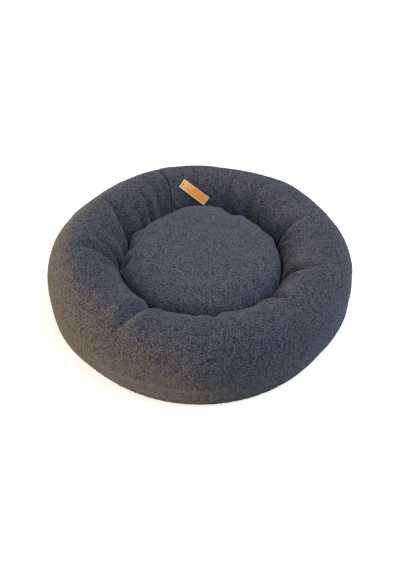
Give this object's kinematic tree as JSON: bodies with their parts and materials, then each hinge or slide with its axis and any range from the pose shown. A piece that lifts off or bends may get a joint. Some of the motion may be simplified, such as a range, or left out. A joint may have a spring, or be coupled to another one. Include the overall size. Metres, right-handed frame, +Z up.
{
  "type": "donut pet bed",
  "caption": "Round donut pet bed: a plump fleece ring on a woven base, with a loose thick cushion lying in its middle.",
  "frame": {"origin": "middle of the base panel's underside, on the floor", "axes": "+Z up, +Y to the back of the bed where the label and the ring's zip are, +X to the right seen from the front"},
  "size_m": [0.6074, 0.6032, 0.1625],
  "materials": {
    "fleece": "dark slate grey teddy fleece with short curled tufts",
    "woven_base": "dark woven polyester",
    "lining": "off-white non-woven liner cloth",
    "wadding": "white polyester fibre",
    "zip_tape": "dark woven zip tape",
    "zip_coil": "black nylon coil",
    "zip_metal": "dark nickel-plated zinc",
    "label": "tan imitation leather with paler cut edges",
    "label_thread": "dark brown thread"
  },
  "bodies": {
    "ring": {"ring_cover": "fleece", "ring_liner": "lining", "ring_filling": "wadding", "base_panel": "woven_base", "ring_zip_tape_upper": "zip_tape", "ring_zip_tape_lower": "zip_tape", "ring_zip_coil_upper": "zip_coil", "ring_zip_coil_lower": "zip_coil", "ring_zip_stop_first": "zip_metal", "ring_zip_stop_last": "zip_metal", "label_sewn_end": "label", "label_thread": "label_thread"},
    "cushion": {"cushion_cover_top": "fleece", "cushion_cover_bottom": "woven_base", "cushion_liner": "lining", "cushion_filling": "wadding", "cushion_zip_tape_upper": "zip_tape", "cushion_zip_tape_lower": "zip_tape", "cushion_zip_coil_upper": "zip_coil", "cushion_zip_coil_lower": "zip_coil", "cushion_zip_stop_first": "zip_metal", "cushion_zip_stop_last": "zip_metal"},
    "ring_zip_slider": {"ring_zip_slider": "zip_metal"},
    "ring_zip_pull": {"ring_zip_pull": "zip_metal"},
    "cushion_zip_slider": {"cushion_zip_slider": "zip_metal"},
    "cushion_zip_pull": {"cushion_zip_pull": "zip_metal"},
    "label": {"label_flap": "label"}
  },
  "joints": [
    {"name": "cushion_lift", "type": "slide", "parent": "ring", "child": "cushion", "axis": [0, 0, 1], "range_m": [0, 0.2]},
    {"name": "ring_zip_run", "type": "hinge", "parent": "ring", "child": "ring_zip_slider", "pos_m": [0, 0, 0.03], "axis": [0, 0, 1], "range_deg": [0, 96.3]},
    {"name": "ring_pull_swing", "type": "hinge", "parent": "ring_zip_slider", "child": "ring_zip_pull", "pos_m": [0.21858, 0.19556, 0.02985], "axis": [0.6668, -0.7453, 0], "range_deg": [0, 120]},
    {"name": "cushion_zip_run", "type": "hinge", "parent": "cushion", "child": "cushion_zip_slider", "pos_m": [0, 0, 0.045], "axis": [0, 0, 1], "range_deg": [0, 100.9]},
    {"name": "cushion_pull_swing", "type": "hinge", "parent": "cushion_zip_slider", "child": "cushion_zip_pull", "pos_m": [-0.11727, -0.09672, 0.04484], "axis": [-0.6363, 0.7715, 0], "range_deg": [0, 25]},
    {"name": "label_flap", "type": "hinge", "parent": "ring", "child": "label", "pos_m": [-0.03373, 0.19491, 0.14905], "axis": [-0.5973, -0.4805, -0.6422], "range_deg": [0, 75]}
  ]
}
